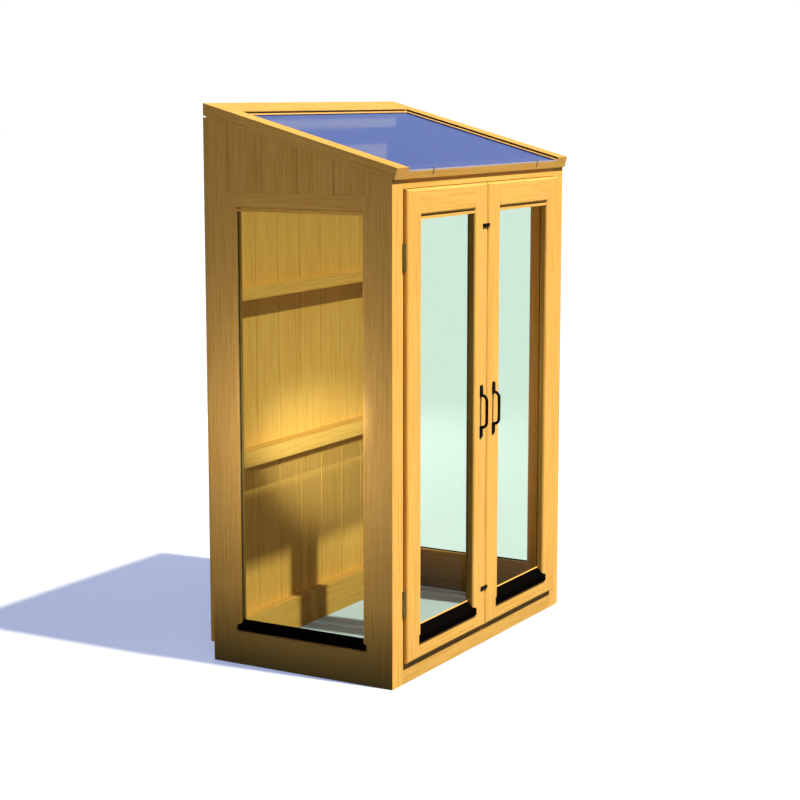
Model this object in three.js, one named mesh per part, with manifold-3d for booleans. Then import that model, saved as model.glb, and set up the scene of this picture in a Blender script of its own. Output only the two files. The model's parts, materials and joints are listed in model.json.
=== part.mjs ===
// Wooden mini greenhouse: two glazed side panels, a boarded back, a front frame with two
// glazed doors, and a glazed lean-to roof that slopes down to the front.
//
// Lengths are millimetres. X runs along the front from left to right, Y from the doors to
// the back wall, and Z up. While the pieces are made, Y is zero on the face of the front
// frame. At the end the whole group moves so that its origin lies on the ground under the
// middle of the outline.

import * as THREE from 'three';
import { mergeVertices } from 'three/addons/utils/BufferGeometryUtils.js';
import Module from 'manifold-3d';

// Whole body
const width = 1210;
const height = 1820.5;
const panelDepth = 679;
const panelThickness = 28;

// Front frame: posts between the side panels, header and threshold between the posts
const postWidth = 38.5;
const postDepth = 38;
const thresholdHeight = 66;
const headerHeight = 30.1;
const stopHeight = 12;
const stopClearance = 0.5;

// Doors
const doorThickness = 30;
const doorProud = 16;
const doorSideGap = 2.5;
const doorEndGap = 2;
const meetingGap = 3;
const doorStileWidth = 88;
const doorTopRailHeight = 83.5;
const doorBottomRailHeight = 58;
const doorEdgeRadius = 9;
const doorPaneSetback = 24;

// Side panels
const sideStileWidth = 110;
const sideBottomRailHeight = 118;
const windowRailHeight = 50;
const sideApertureRadius = 12;
const sidePaneSetback = 14;
const boardThickness = 13;
const gableFrontHeight = 52.1;
const gableBoardSetback = 1;
const gableBoardInset = 76.6;
const gableBoardCount = 4;

// Panes, the grooves that hold them and the clearances between pieces
const paneThickness = 3;
const paneHold = 7;
const grooveDepth = 8;
const ease = 0.3;
const overrun = 5;

// Back panel
const backBoardCount = 9;
const backBoardFoot = 61;
const backBoardHeadGap = 2.3;
const boardGrooveWidth = 5;
const boardGrooveDepth = 2.5;
const backRailDepth = 37;
const backMiddleRailDepth = 55;
const backBottomRailHeight = 112;
const backMiddleRailShare = 0.3735;
const backMiddleRailHeight = 52;
const backUpperRailShare = 0.67;
const backUpperRailHeight = 40;
const backTopRailHeight = 77.3;

// Roof
const roofPitch = THREE.MathUtils.degToRad(15.1);
const roofOverhang = 17.6;
const roofThickness = 38;
const rakeFace = 73;
const glassBearing = 15;
const rebateDepth = 14;
const roofGlassThickness = 5;
const roofGlassSideGap = 1;
const backRailFace = 101;
const frontRailWidth = 60;

// Clips that keep the roof glass from sliding forward
const clipWidth = 10;
const clipThickness = 1.5;
const clipLeg = 14;
const clipHook = 9;
const clipInset = 236;

// Sills and head beads: how far each stands out, drops, rises and runs past the opening
const doorSillSizes = { proud: 5, drop: 5, noseRise: 16, backRise: 42, ear: 14 };
const sideSillSizes = { proud: 3.5, drop: 3, noseRise: 12, backRise: 32, ear: 15 };
const doorBeadSizes = { recess: 2.6, foot: 12.5, lipHead: 4.5, lipDepth: 8 };
const sideBeadSizes = { recess: 1.5, foot: 10.5, lipHead: 3, lipDepth: 5 };

// Hinges
const hingeHeight = 80;
const hingeBarrelRadius = 3.5;
const hingeFromDoorHead = 207;
const hingeFromDoorFoot = 197;
const hingeLeafThickness = 0.8;
const hingeLeafReach = 16;
const hingeBarrelStandoff = 0.7;
const hingeEase = 0.2;
const hingePinRadius = 1.6;
const hingePinEase = 0.25;
const hingeKnuckleCount = 5;
const hingeTipHeight = 2;

// Handles
const handleLength = 178;
const handleInset = 43.2;
const handleBelowMiddle = 6.2;
const handlePadWidth = 18;
const handlePadHeight = 39;
const handlePadThickness = 2.5;
const handleBarRadius = 3.3;
const handleStandoff = 24;
const handleBendLength = 20;
const handleFootInset = 4;

// Turn buttons
const buttonLength = 45;
const buttonHeight = 12;
const buttonThickness = 3.5;
const buttonPivotInset = 15;
const buttonFromDoorHead = 138.5;
const buttonFromDoorFoot = 133.5;
const buttonEndRadius = 3;
const buttonScrewRadius = 4;
const buttonScrewHeight = 1.4;

// Facets on round work
const edgeSteps = 4;
const barrelSides = 16;
const barSides = 8;
const barSteps = 26;
const endSteps = 6;

// Places that follow from the sizes
const outer = width / 2;
const panelInner = outer - panelThickness;
const postInner = panelInner - postWidth;
const backFace = panelDepth + boardThickness;
const doorFace = -doorProud;
const doorBack = doorFace + doorThickness;
const doorOuter = postInner - doorSideGap;
const doorMeeting = meetingGap / 2;
const roofRun = backFace + roofOverhang;
const roofFrontTop = height - roofRun * Math.tan(roofPitch);
const headerFoot = underRoof(0) - headerHeight;
const doorFoot = thresholdHeight + doorEndGap;
const doorHead = headerFoot - doorEndGap;
const handleMiddle = (doorFoot + doorHead) / 2 - handleBelowMiddle;
const gableBoardFoot = underRoof(0) - gableFrontHeight;
const windowHeadHeight = gableBoardFoot - windowRailHeight;
const backBoardHead = underRoof(panelDepth) - backBoardHeadGap;
const backTopRailFoot = underRoof(panelDepth) - backTopRailHeight;
const backMiddleRailTop = height * backMiddleRailShare;
const backUpperRailTop = height * backUpperRailShare;
const roofInner = outer - rakeFace - glassBearing;
const rebateEnd = roofRun / Math.cos(roofPitch) - backRailFace;
const hingeX = -(doorOuter + hingeBarrelRadius + hingeEase);
const hingeY = -(hingeBarrelRadius + hingeBarrelStandoff);
const frontReach = doorProud + handleStandoff + handleBarRadius;

// Each glazed opening, looked at from outside: it runs across from left to right, its
// face is where the outer surface lies, and deep counts from there into the greenhouse.
const doorOpening = {
  left: -doorOuter + doorStileWidth,
  right: -doorMeeting - doorStileWidth,
  foot: doorFoot + doorBottomRailHeight,
  head: doorHead - doorTopRailHeight,
  face: doorFace,
  back: doorBack,
  radius: doorEdgeRadius,
  pane: doorFace + doorPaneSetback,
};
const sideOpening = {
  left: sideStileWidth - panelDepth,
  right: -sideStileWidth,
  foot: sideBottomRailHeight,
  head: windowHeadHeight,
  face: -outer,
  back: -panelInner,
  radius: sideApertureRadius,
  pane: sidePaneSetback - outer,
};

const wasm = await Module();
wasm.setup();

// Joining and cutting

function solidOf(geometry) {
  const bare = geometry.clone();
  bare.deleteAttribute('normal');
  bare.deleteAttribute('uv');
  const merged = mergeVertices(bare);
  return new wasm.Manifold(new wasm.Mesh({
    numProp: 3,
    vertProperties: new Float32Array(merged.attributes.position.array),
    triVerts: new Uint32Array(merged.index.array),
  }));
}

function geometryOf(solid) {
  const mesh = solid.getMesh();
  const geometry = new THREE.BufferGeometry();
  geometry.setAttribute('position', new THREE.BufferAttribute(mesh.vertProperties, 3));
  geometry.setIndex(new THREE.BufferAttribute(mesh.triVerts, 1));
  return geometry;
}

function join(first, ...others) {
  return geometryOf(others.reduce((solid, other) => solid.add(solidOf(other)), solidOf(first)));
}

function cut(first, ...tools) {
  return geometryOf(tools.reduce((solid, tool) => solid.subtract(solidOf(tool)), solidOf(first)));
}

function common(first, second) {
  return geometryOf(solidOf(first).intersect(solidOf(second)));
}

// Basic forms

// A prism along an axis. Its outline lies in (y, z) along x, (x, z) along y, (x, y) along z.
function prism(axis, outline, from, to) {
  const points = outline.map(([first, second]) => (
    axis === 'y' ? new THREE.Vector2(second, first) : new THREE.Vector2(first, second)));
  const geometry = new THREE.ExtrudeGeometry(new THREE.Shape(points), { depth: 1, bevelEnabled: false });
  const place = geometry.attributes.position;
  for (let i = 0; i < place.count; i += 1) {
    const along = place.getZ(i) > 0 ? to : from;
    const [first, second] = [place.getX(i), place.getY(i)];
    if (axis === 'x') place.setXYZ(i, along, first, second);
    if (axis === 'y') place.setXYZ(i, second, along, first);
    if (axis === 'z') place.setXYZ(i, first, second, along);
  }
  return geometry;
}

function block([x0, y0, z0], [x1, y1, z1]) {
  return prism('z', [[x0, y0], [x1, y0], [x1, y1], [x0, y1]], z0, z1);
}

// A solid through rectangles that stand across Y, one behind the other.
function loft(rectangles) {
  const corners = [];
  const faces = [];
  for (const { deep, left, right, foot, head } of rectangles) {
    corners.push(left, deep, foot, right, deep, foot, right, deep, head, left, deep, head);
  }
  for (let i = 1; i < rectangles.length; i += 1) {
    const near = 4 * (i - 1);
    const far = 4 * i;
    for (let k = 0; k < 4; k += 1) {
      const next = (k + 1) % 4;
      faces.push(near + k, far + k, far + next, near + k, far + next, near + next);
    }
  }
  const last = 4 * (rectangles.length - 1);
  faces.push(0, 1, 2, 0, 2, 3, last, last + 2, last + 1, last, last + 3, last + 2);
  const geometry = new THREE.BufferGeometry();
  geometry.setAttribute('position', new THREE.BufferAttribute(new Float32Array(corners), 3));
  geometry.setIndex(faces);
  return geometry;
}

// Steps round a quarter circle, as depth from the face and distance from the sharp edge.
function roundSteps(radius) {
  return Array.from({ length: edgeSteps + 1 }, (_, i) => {
    const turn = (i / edgeSteps) * (Math.PI / 2);
    return { depth: radius * (1 - Math.cos(turn)), inset: radius * (1 - Math.sin(turn)) };
  });
}

// Frame openings

// The clear space in a frame. The frame's outer edges are rounded round it at the sides and
// the head, and the sill covers the foot.
function openingSpace(opening, clearance) {
  const rectangle = (deep, inset) => ({
    deep,
    left: opening.left - inset + clearance,
    right: opening.right + inset - clearance,
    foot: opening.foot + clearance,
    head: opening.head + inset - clearance,
  });
  return loft([
    rectangle(opening.face - overrun - opening.radius, opening.radius),
    ...roundSteps(opening.radius).map(({ depth, inset }) => rectangle(opening.face + depth, inset)),
    rectangle(opening.back + overrun, 0),
  ]);
}

function paneGroove(opening) {
  return block(
    [opening.left - grooveDepth, opening.pane - ease / 2, opening.foot - grooveDepth],
    [opening.right + grooveDepth, opening.pane + paneThickness + ease / 2, opening.head + grooveDepth],
  );
}

function pane(opening) {
  return block(
    [opening.left - paneHold, opening.pane, opening.foot - paneHold],
    [opening.right + paneHold, opening.pane + paneThickness, opening.head + paneHold],
  );
}

function frameMember(blank, opening) {
  return cut(blank, openingSpace(opening, 0), paneGroove(opening));
}

// A sloping sill in front of the pane, with a nosing that runs past the opening.
function sill(opening, { proud, drop, noseRise, backRise, ear }) {
  const nose = opening.face - proud;
  const seat = opening.face - ease;
  const inner = opening.pane - ease;
  const slope = (backRise - noseRise) / (inner - nose);
  const noseFoot = opening.foot - drop;
  const noseHead = opening.foot + noseRise;
  const nosing = prism('x', [
    [nose, noseFoot],
    [seat, noseFoot],
    [seat, noseHead + slope * (seat - nose)],
    [nose, noseHead],
  ], opening.left - ear, opening.right + ear);
  const slab = prism('x', [
    [nose, opening.foot],
    [inner, opening.foot],
    [inner, opening.foot + backRise],
    [nose, noseHead],
  ], opening.left - ear, opening.right + ear);
  return join(nosing, common(slab, openingSpace(opening, ease)));
}

// A bead under the head, with a lip whose top stands clear of the rail's rounded edge.
function headBead(opening, { recess, foot, lipHead, lipDepth }) {
  const front = opening.face + recess;
  const section = [
    [front, opening.head - foot],
    [opening.pane - ease, opening.head - foot],
    [opening.pane - ease, opening.head - ease],
    [front + lipDepth, opening.head - ease],
    [front + lipDepth, opening.head - lipHead],
    [front, opening.head - lipHead],
  ];
  const bar = prism('x', section, opening.left - opening.radius, opening.right + opening.radius);
  return common(bar, openingSpace(opening, ease));
}

// Roof places, along the slope from its front edge and square down from its top

function onRoof(along, down) {
  return [
    along * Math.cos(roofPitch) + down * Math.sin(roofPitch) - roofOverhang,
    roofFrontTop + along * Math.sin(roofPitch) - down * Math.cos(roofPitch),
  ];
}

function roofAt(y, down) {
  return roofFrontTop + (y + roofOverhang) * Math.tan(roofPitch) - down / Math.cos(roofPitch);
}

function underRoof(y) {
  return roofAt(y, roofThickness) - ease;
}

// Front frame

function post() {
  return prism('x', [
    [0, 0],
    [postDepth, 0],
    [postDepth, underRoof(postDepth)],
    [0, underRoof(0)],
  ], -panelInner, -postInner);
}

function header() {
  return prism('x', [
    [0, headerFoot],
    [postDepth, headerFoot],
    [postDepth, underRoof(postDepth)],
    [0, underRoof(0)],
  ], -postInner, postInner);
}

function threshold() {
  return block([-postInner, 0, 0], [postInner, postDepth, thresholdHeight]);
}

function doorStop(foot) {
  const front = doorBack + stopClearance;
  return block([-postInner, front, foot], [postInner, postDepth, foot + stopHeight]);
}

// Doors, made for the left side

function doorMember([left, foot], [right, head]) {
  const whole = loft([
    ...roundSteps(doorEdgeRadius).map(({ depth, inset }) => ({
      deep: doorFace + depth,
      left: -doorOuter + inset,
      right: -doorMeeting - inset,
      foot: doorFoot + inset,
      head: doorHead - inset,
    })),
    { deep: doorBack, left: -doorOuter, right: -doorMeeting, foot: doorFoot, head: doorHead },
  ]);
  const piece = block([left, doorFace - overrun, foot], [right, doorBack + overrun, head]);
  return frameMember(common(whole, piece), doorOpening);
}

function doorHandle() {
  const middleX = -doorMeeting - handleInset;
  const padFace = doorFace - ease - handlePadThickness;
  const barY = doorFace - handleStandoff;
  const footZ = handleLength / 2 - handlePadHeight + handleFootInset;
  const straightZ = footZ - handleBendLength;
  const bend = (end) => Array.from({ length: endSteps + 1 }, (_, i) => {
    const turn = (i / endSteps) * (Math.PI / 2);
    return new THREE.Vector3(
      middleX,
      padFace - (padFace - barY) * Math.sin(turn),
      handleMiddle + end * (straightZ + handleBendLength * Math.cos(turn)),
    );
  });
  const footDepth = handlePadThickness / 2;
  const foot = (end) => new THREE.Vector3(middleX, padFace + footDepth, handleMiddle + end * footZ);
  const places = [foot(1), ...bend(1), ...bend(-1).reverse(), foot(-1)];
  const path = new THREE.CurvePath();
  for (let i = 1; i < places.length; i += 1) {
    path.add(new THREE.LineCurve3(places[i - 1], places[i]));
  }
  const section = new THREE.Shape(new THREE.EllipseCurve(0, 0, handleBarRadius, handleBarRadius)
    .getPoints(barSides).slice(0, barSides));
  const bar = new THREE.ExtrudeGeometry(section, {
    steps: barSteps,
    extrudePath: path,
    bevelEnabled: false,
  });
  const pads = [1, -1].map((end) => prism('y', padOutline(middleX, end), padFace, doorFace - ease));
  return join(bar, ...pads);
}

// A handle's foot plate: square towards the bar, round at the far end.
function padOutline(middleX, end) {
  const radius = handlePadWidth / 2;
  const inner = handleLength / 2 - handlePadHeight;
  const round = handleLength / 2 - radius;
  const arc = Array.from({ length: 2 * endSteps + 1 }, (_, i) => {
    const turn = (i / (2 * endSteps)) * Math.PI;
    return [middleX + radius * Math.cos(turn), handleMiddle + end * (round + radius * Math.sin(turn))];
  });
  return [
    [middleX + radius, handleMiddle + end * inner],
    ...arc,
    [middleX - radius, handleMiddle + end * inner],
  ];
}

// Turn buttons on the left door, which reach over the edge of the right door

function turnButton(middleZ) {
  const pivotX = -doorMeeting - buttonPivotInset;
  const seat = doorFace - ease;
  const halfLength = buttonLength / 2 - buttonEndRadius;
  const halfHeight = buttonHeight / 2 - buttonEndRadius;
  const corners = [[1, 1], [-1, 1], [-1, -1], [1, -1]];
  const outline = corners.flatMap(([acrossSign, upSign], quarter) => (
    Array.from({ length: edgeSteps + 1 }, (_, i) => {
      const turn = (quarter + i / edgeSteps) * (Math.PI / 2);
      return [
        pivotX + acrossSign * halfLength + buttonEndRadius * Math.cos(turn),
        middleZ + upSign * halfHeight + buttonEndRadius * Math.sin(turn),
      ];
    })));
  const bar = prism('y', outline, seat - buttonThickness, seat);
  const screw = new THREE.CylinderGeometry(
    buttonScrewRadius, buttonScrewRadius, buttonThickness + buttonScrewHeight, barrelSides);
  screw.translate(pivotX, seat - (buttonThickness + buttonScrewHeight) / 2, middleZ);
  return join(bar, screw);
}

// Hinges, made for the left door

function barrel(radius, foot, head) {
  const cylinder = new THREE.CylinderGeometry(radius, radius, head - foot, barrelSides);
  cylinder.rotateX(Math.PI / 2);
  cylinder.translate(hingeX, hingeY, (foot + head) / 2);
  return cylinder;
}

// One leaf of a hinge: a plate in the gap beside the door, and every second knuckle.
function hingeLeaf(foot, plateLeft, firstKnuckle) {
  const plateRight = plateLeft + hingeLeafThickness;
  const reach = hingeBarrelRadius + hingeEase;
  const nearest = Math.min(Math.abs(plateLeft - hingeX), Math.abs(plateRight - hingeX));
  const plateFront = hingeY + Math.sqrt(reach ** 2 - nearest ** 2);
  const knuckle = hingeHeight / hingeKnuckleCount;
  const pieces = [
    block([plateLeft, plateFront, foot], [plateRight, hingeY + hingeLeafReach, foot + hingeHeight]),
  ];
  for (let i = firstKnuckle; i < hingeKnuckleCount; i += 2) {
    const low = foot + i * knuckle + hingeEase;
    const high = foot + (i + 1) * knuckle - hingeEase;
    pieces.push(barrel(hingeBarrelRadius, low, high));
    pieces.push(block([plateLeft, hingeY, low], [plateRight, plateFront + hingeEase, high]));
  }
  return join(...pieces);
}

function hingePostLeaf(foot) {
  const leaf = hingeLeaf(foot, -postInner + hingeEase, 0);
  const pin = barrel(hingePinRadius, foot - hingeTipHeight, foot + hingeHeight + hingeTipHeight);
  return join(leaf, pin);
}

function hingeDoorLeaf(foot) {
  const leaf = hingeLeaf(foot, -doorOuter - hingeEase - hingeLeafThickness, 1);
  const bore = barrel(hingePinRadius + hingePinEase, foot - overrun, foot + hingeHeight + overrun);
  return cut(leaf, bore);
}

// Side panels, made as if they faced the front: their front edge lies at zero across, and
// their back edge at minus the panel's depth

function sideStile(edge, inward) {
  const step = edge + inward * gableBoardInset;
  const inner = edge + inward * sideStileWidth;
  return frameMember(prism('y', [
    [edge, 0],
    [inner, 0],
    [inner, gableBoardFoot],
    [step, gableBoardFoot],
    [step, underRoof(-step)],
    [edge, underRoof(-edge)],
  ], sideOpening.face, sideOpening.back), sideOpening);
}

function sideRail(foot, head) {
  return frameMember(block(
    [sideOpening.left, sideOpening.face, foot],
    [sideOpening.right, sideOpening.back, head],
  ), sideOpening);
}

function gableBoards() {
  const left = gableBoardInset - panelDepth;
  const right = -gableBoardInset;
  const front = sideOpening.face + gableBoardSetback;
  const boards = boarding(left, right, front, gableBoardCount, gableBoardFoot, height);
  const roofLine = prism('y', [
    [left - overrun, 0],
    [right + overrun, 0],
    [right + overrun, underRoof(-right - overrun)],
    [left - overrun, underRoof(-left + overrun)],
  ], sideOpening.face - overrun, sideOpening.back + overrun);
  return common(boards, roofLine);
}

// Upright boards side by side, with a V groove at each joint on both faces.
function boarding(left, right, front, count, foot, head) {
  const back = front + boardThickness;
  const half = boardGrooveWidth / 2;
  const pitch = (right - left) / count;
  const joints = Array.from({ length: count - 1 }, (_, i) => left + (i + 1) * pitch);
  const grooves = (face, inward) => joints.flatMap((joint) => [
    [joint - half, face],
    [joint, face + inward * boardGrooveDepth],
    [joint + half, face],
  ]);
  return prism('z', [
    [left, front + boardGrooveDepth],
    [left + half, front],
    ...grooves(front, 1),
    [right - half, front],
    [right, front + boardGrooveDepth],
    [right, back],
    ...grooves(back, -1).reverse(),
    [left, back],
  ], foot, head);
}

// Back panel

function backRail(foot, head, depth) {
  return block([-panelInner, panelDepth - depth, foot], [panelInner, panelDepth, head]);
}

function backTopRail() {
  const front = panelDepth - backRailDepth;
  return prism('x', [
    [front, backTopRailFoot],
    [panelDepth, backTopRailFoot],
    [panelDepth, underRoof(panelDepth)],
    [front, underRoof(front)],
  ], -panelInner, panelInner);
}

// Roof

function atRoofBack(down) {
  return [backFace, roofAt(backFace, down)];
}

function roofRake() {
  const timber = prism('x', [
    onRoof(0, 0),
    onRoof(0, roofThickness),
    atRoofBack(roofThickness),
    atRoofBack(0),
  ], -outer, -roofInner);
  const rebate = prism('x', [
    onRoof(-overrun, -overrun),
    onRoof(-overrun, rebateDepth),
    onRoof(rebateEnd, rebateDepth),
    onRoof(rebateEnd, -overrun),
  ], -roofInner - glassBearing, -roofInner + overrun);
  return cut(timber, rebate);
}

function roofBackRail() {
  return prism('x', [
    onRoof(rebateEnd - glassBearing, rebateDepth),
    onRoof(rebateEnd - glassBearing, roofThickness),
    atRoofBack(roofThickness),
    atRoofBack(0),
    onRoof(rebateEnd, 0),
    onRoof(rebateEnd, rebateDepth),
  ], -roofInner, roofInner);
}

function roofFrontRail() {
  return prism('x', [
    onRoof(0, rebateDepth),
    onRoof(0, roofThickness),
    onRoof(frontRailWidth, roofThickness),
    onRoof(frontRailWidth, rebateDepth),
  ], -roofInner, roofInner);
}

function roofGlass() {
  const top = rebateDepth - ease - roofGlassThickness;
  const side = outer - rakeFace - roofGlassSideGap;
  return prism('x', [
    onRoof(0, top),
    onRoof(0, rebateDepth - ease),
    onRoof(rebateEnd - roofGlassSideGap, rebateDepth - ease),
    onRoof(rebateEnd - roofGlassSideGap, top),
  ], -side, side);
}

// A bent strip: its leg lies on the front rail and its hook holds the edge of the glass.
function glassClip() {
  const glassTop = rebateDepth - ease - roofGlassThickness;
  const front = -ease - clipThickness;
  const top = glassTop - ease - clipThickness;
  const left = -outer + clipInset - clipWidth / 2;
  return prism('x', [
    onRoof(front, rebateDepth + clipLeg),
    onRoof(-ease, rebateDepth + clipLeg),
    onRoof(-ease, glassTop - ease),
    onRoof(clipHook, glassTop - ease),
    onRoof(clipHook, top),
    onRoof(front, top),
  ], left, left + clipWidth);
}

// Materials

const timber = (color) => () => new THREE.MeshStandardMaterial({
  color, roughness: 0.62, metalness: 0, flatShading: true,
});
const stile = timber(0xe0a558);
const rail = timber(0xd29a52);
const board = timber(0xc08a48);
const bead = timber(0xe3aa5e);
const glass = () => new THREE.MeshStandardMaterial({
  color: 0xcfe6da, roughness: 0.05, metalness: 0, transparent: true, opacity: 0.3, flatShading: true,
});
const blackPaint = () => new THREE.MeshStandardMaterial({
  color: 0x0b0a08, roughness: 0.35, metalness: 0, flatShading: true,
});
const blackIron = () => new THREE.MeshStandardMaterial({
  color: 0x15130f, roughness: 0.4, metalness: 0.8, flatShading: true,
});
const zinc = () => new THREE.MeshStandardMaterial({
  color: 0xa9adb0, roughness: 0.35, metalness: 0.9, flatShading: true,
});

// Assembly

const greenhouse = new THREE.Group();
greenhouse.name = 'wooden_mini_greenhouse';
greenhouse.position.y = (frontReach - backFace) / 2;

function addPiece(parent, name, geometry, material) {
  const mesh = new THREE.Mesh(geometry, material());
  mesh.name = name;
  parent.add(mesh);
}

// The right-hand side is the left-hand side mirrored.
for (const side of ['left', 'right']) {
  const half = new THREE.Group();
  half.scale.x = side === 'left' ? 1 : -1;
  greenhouse.add(half);
  const addHere = (name, geometry, material) => addPiece(half, name, geometry, material);

  const panel = new THREE.Group();
  panel.rotation.z = -Math.PI / 2;
  half.add(panel);
  const addToPanel = (name, geometry, material) => (
    addPiece(panel, `${side}_panel_${name}`, geometry, material));
  addToPanel('front_stile', sideStile(0, -1), stile);
  addToPanel('back_stile', sideStile(-panelDepth, 1), stile);
  addToPanel('bottom_rail', sideRail(0, sideBottomRailHeight), rail);
  addToPanel('window_rail', sideRail(windowHeadHeight, gableBoardFoot), rail);
  addToPanel('gable_boards', gableBoards(), board);
  addToPanel('glass', pane(sideOpening), glass);
  addToPanel('sill', sill(sideOpening, sideSillSizes), blackPaint);
  addToPanel('head_bead', headBead(sideOpening, sideBeadSizes), bead);

  addHere(`front_${side}_post`, post(), stile);

  const { left, right, foot, head } = doorOpening;
  const addToDoor = (name, geometry, material) => addHere(`${side}_door_${name}`, geometry, material);
  addToDoor('hinge_stile', doorMember([-doorOuter, doorFoot], [left, doorHead]), stile);
  addToDoor('meeting_stile', doorMember([right, doorFoot], [-doorMeeting, doorHead]), stile);
  addToDoor('top_rail', doorMember([left, head], [right, doorHead]), rail);
  addToDoor('bottom_rail', doorMember([left, doorFoot], [right, foot]), rail);
  addToDoor('glass', pane(doorOpening), glass);
  addToDoor('sill', sill(doorOpening, doorSillSizes), blackPaint);
  addToDoor('head_bead', headBead(doorOpening, doorBeadSizes), bead);
  addToDoor('handle', doorHandle(), blackIron);

  const hingeFeet = {
    lower: doorFoot + hingeFromDoorFoot - hingeHeight / 2,
    upper: doorHead - hingeFromDoorHead - hingeHeight / 2,
  };
  for (const [level, hingeFoot] of Object.entries(hingeFeet)) {
    addHere(`${side}_${level}_hinge_post_leaf`, hingePostLeaf(hingeFoot), blackIron);
    addHere(`${side}_${level}_hinge_door_leaf`, hingeDoorLeaf(hingeFoot), blackIron);
  }

  addHere(`roof_${side}_rake`, roofRake(), rail);
  addHere(`roof_${side}_glass_clip`, glassClip(), zinc);
}

const addAcross = (name, geometry, material) => addPiece(greenhouse, name, geometry, material);

addAcross('front_header', header(), rail);
addAcross('front_threshold', threshold(), rail);
addAcross('front_top_stop', doorStop(headerFoot - stopHeight), rail);
addAcross('front_bottom_stop', doorStop(thresholdHeight), rail);

addAcross('upper_turn_button', turnButton(doorHead - buttonFromDoorHead), blackIron);
addAcross('lower_turn_button', turnButton(doorFoot + buttonFromDoorFoot), blackIron);

addAcross('back_boards', boarding(-outer, outer, panelDepth, backBoardCount, backBoardFoot, backBoardHead), board);
addAcross('back_bottom_rail', backRail(0, backBottomRailHeight, backRailDepth), rail);
addAcross('back_middle_rail', backRail(
  backMiddleRailTop - backMiddleRailHeight, backMiddleRailTop, backMiddleRailDepth), rail);
addAcross('back_upper_rail', backRail(
  backUpperRailTop - backUpperRailHeight, backUpperRailTop, backRailDepth), rail);
addAcross('back_top_rail', backTopRail(), rail);

addAcross('roof_back_rail', roofBackRail(), rail);
addAcross('roof_front_rail', roofFrontRail(), rail);
addAcross('roof_glass', roofGlass(), glass);

export default greenhouse;
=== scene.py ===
import json
import math

import bmesh
import bpy
from mathutils import Matrix, Vector


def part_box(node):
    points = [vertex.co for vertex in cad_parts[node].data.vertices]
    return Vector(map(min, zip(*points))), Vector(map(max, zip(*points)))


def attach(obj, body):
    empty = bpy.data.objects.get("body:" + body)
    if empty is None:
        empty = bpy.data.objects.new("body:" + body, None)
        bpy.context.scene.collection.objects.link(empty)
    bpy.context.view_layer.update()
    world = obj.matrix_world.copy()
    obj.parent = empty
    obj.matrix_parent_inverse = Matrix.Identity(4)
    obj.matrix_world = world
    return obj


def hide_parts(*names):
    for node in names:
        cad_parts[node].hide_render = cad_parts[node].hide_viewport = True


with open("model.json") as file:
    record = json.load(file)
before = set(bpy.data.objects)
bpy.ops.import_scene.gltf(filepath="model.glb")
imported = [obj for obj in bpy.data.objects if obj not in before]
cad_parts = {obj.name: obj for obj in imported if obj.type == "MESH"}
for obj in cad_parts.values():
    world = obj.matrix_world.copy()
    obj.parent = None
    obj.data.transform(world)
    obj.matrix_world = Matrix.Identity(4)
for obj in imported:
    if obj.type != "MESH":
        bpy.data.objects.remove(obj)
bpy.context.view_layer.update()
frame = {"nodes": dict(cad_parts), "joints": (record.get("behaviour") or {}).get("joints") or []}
nodes = frame["nodes"]
joints = {joint["name"]: joint for joint in frame["joints"]}

# Lengths are in metres, powers in watts.
ROOF_PITCH = math.radians(15.1)
ROOF_SLOPE = Vector((0.0, math.cos(ROOF_PITCH), math.sin(ROOF_PITCH)))
ROOF_LIFT = Vector((0.0, -math.sin(ROOF_PITCH), math.cos(ROOF_PITCH)))
ALONG_X = Vector((1.0, 0.0, 0.0))
ALONG_Y = Vector((0.0, 1.0, 0.0))
ALONG_Z = Vector((0.0, 0.0, 1.0))
SIDES = {"left": -1.0, "right": 1.0}
LEVELS = ("upper", "lower")
QUARTER = math.pi / 2


def rgba(red, green, blue):
    return (red, green, blue, 1.0)


# Camera

CAMERA_AZIMUTH = math.radians(-60.274)
CAMERA_ELEVATION = math.radians(9.047)
CAMERA_PLACE = (-5.654, -3.2345, 1.8508)
CAMERA_SENSOR = 36.0
CAMERA_FOCAL_SHARE = 1927.1 / 800


def add_camera():
    data = bpy.data.cameras.new("camera")
    data.sensor_width = CAMERA_SENSOR
    data.lens = CAMERA_SENSOR * CAMERA_FOCAL_SHARE
    camera = bpy.data.objects.new("camera", data)
    bpy.context.scene.collection.objects.link(camera)
    away = Vector((
        math.sin(CAMERA_AZIMUTH) * math.cos(CAMERA_ELEVATION),
        -math.cos(CAMERA_AZIMUTH) * math.cos(CAMERA_ELEVATION),
        math.sin(CAMERA_ELEVATION),
    ))
    camera.location = CAMERA_PLACE
    camera.rotation_mode = "QUATERNION"
    camera.rotation_quaternion = (-away).to_track_quat("-Z", "Y")
    bpy.context.scene.camera = camera


# Node trees

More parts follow.
